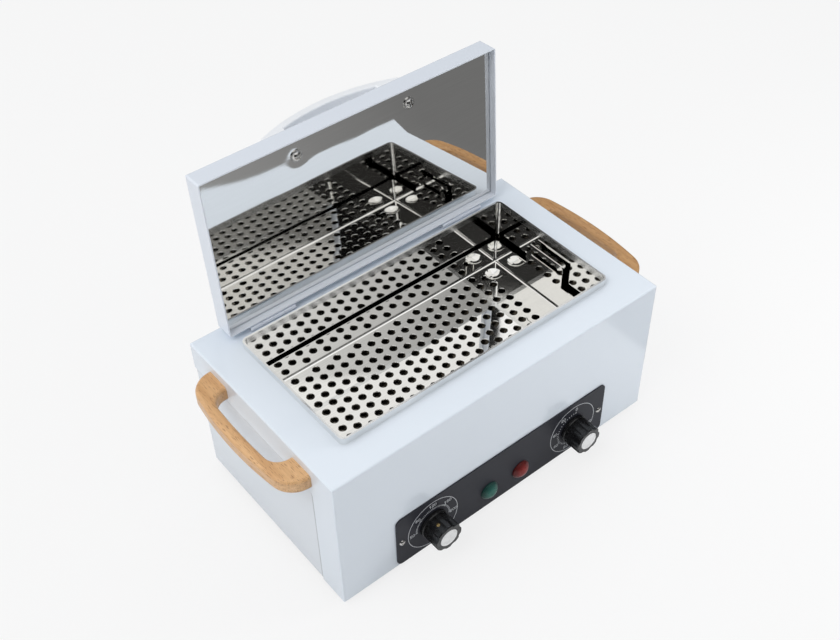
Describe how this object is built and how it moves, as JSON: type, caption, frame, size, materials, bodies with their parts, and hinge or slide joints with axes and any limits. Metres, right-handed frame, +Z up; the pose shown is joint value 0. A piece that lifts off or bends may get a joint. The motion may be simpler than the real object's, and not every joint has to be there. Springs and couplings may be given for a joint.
{
  "type": "dry heat sterilizer",
  "caption": "Benchtop dry heat sterilizer with a stainless chamber, a loose perforated tray, an open hinged lid, two dials, green and red lamps and wooden carrying handles.",
  "frame": {"origin": "middle of the cabinet's footprint, on the surface that the feet stand on", "axes": "+Z up, -Y towards the front with the dials, +X to the right seen from the front"},
  "size_m": [0.3814, 0.2471, 0.2962],
  "materials": {
    "painted_steel": "satin",
    "polished_steel": "polished",
    "plated_steel": "satin",
    "panel_sheet": "matte",
    "knob_plastic": "satin",
    "black_plastic": "matte",
    "white_plastic": "gloss",
    "disc_metal": "satin",
    "beech": "satin",
    "foot_rubber": "matte",
    "green_lens": "gloss",
    "red_lens": "gloss",
    "mineral_wool": "matte",
    "heater_alloy": "satin",
    "block_plastic": "matte",
    "stud_brass": "satin",
    "cutout_ceramic": "matte"
  },
  "bodies": {
    "cabinet": {"base_pan": "plated_steel", "outer_cover": "painted_steel", "rear_wrap": "painted_steel", "feet": "foot_rubber", "foot_screws": "plated_steel", "foot_nuts": "plated_steel", "base_screws": "plated_steel", "chamber_liner": "polished_steel", "tray": "polished_steel", "insulation_jacket": "mineral_wool", "heat_shield": "plated_steel", "heater_plate": "heater_alloy", "heater_element": "plated_steel", "heater_straps": "plated_steel", "strap_screws": "plated_steel", "thermal_cutout": "cutout_ceramic", "sensing_bulb": "plated_steel", "bulb_clips": "plated_steel", "control_panel": "panel_sheet", "panel_screws": "plated_steel", "thermostat_body": "black_plastic", "timer_body": "heater_alloy", "bushing_nuts": "plated_steel", "green_lamp_lens": "green_lens", "red_lamp_lens": "red_lens", "lamp_holders": "black_plastic", "left_handle": "beech", "right_handle": "beech", "handle_screws": "plated_steel", "hinge_fixed_leaves": "painted_steel", "hinge_pins": "plated_steel", "terminal_block": "block_plastic", "earth_stud": "stud_brass", "power_inlet": "black_plastic", "inlet_pins": "stud_brass", "inlet_screws": "plated_steel"},
    "lid": {"lid_shell": "painted_steel", "lid_inner_plate": "polished_steel", "lid_insulation": "mineral_wool", "lid_handle": "white_plastic", "lid_handle_screws": "plated_steel", "lid_handle_washers": "plated_steel", "hinge_moving_leaves": "painted_steel"},
    "temperature_dial": {"temperature_knob": "knob_plastic", "temperature_disc": "disc_metal", "temperature_shaft": "plated_steel", "temperature_set_screw": "stud_brass"},
    "timer_dial": {"timer_knob": "knob_plastic", "timer_disc": "disc_metal", "timer_shaft": "plated_steel", "timer_set_screw": "stud_brass"}
  },
  "joints": [
    {"name": "lid_hinge", "type": "hinge", "parent": "cabinet", "child": "lid", "pos_m": [0, 0.075, 0.1483], "axis": [1, 0, 0], "range_deg": [0, 93]},
    {"name": "temperature_turn", "type": "hinge", "parent": "cabinet", "child": "temperature_dial", "pos_m": [-0.076, -0.1, 0.0343], "axis": [0, 1, 0], "range_deg": [0, 270]},
    {"name": "timer_turn", "type": "hinge", "parent": "cabinet", "child": "timer_dial", "pos_m": [0.078, -0.1, 0.0343], "axis": [0, 1, 0], "range_deg": [0, 300]}
  ]
}
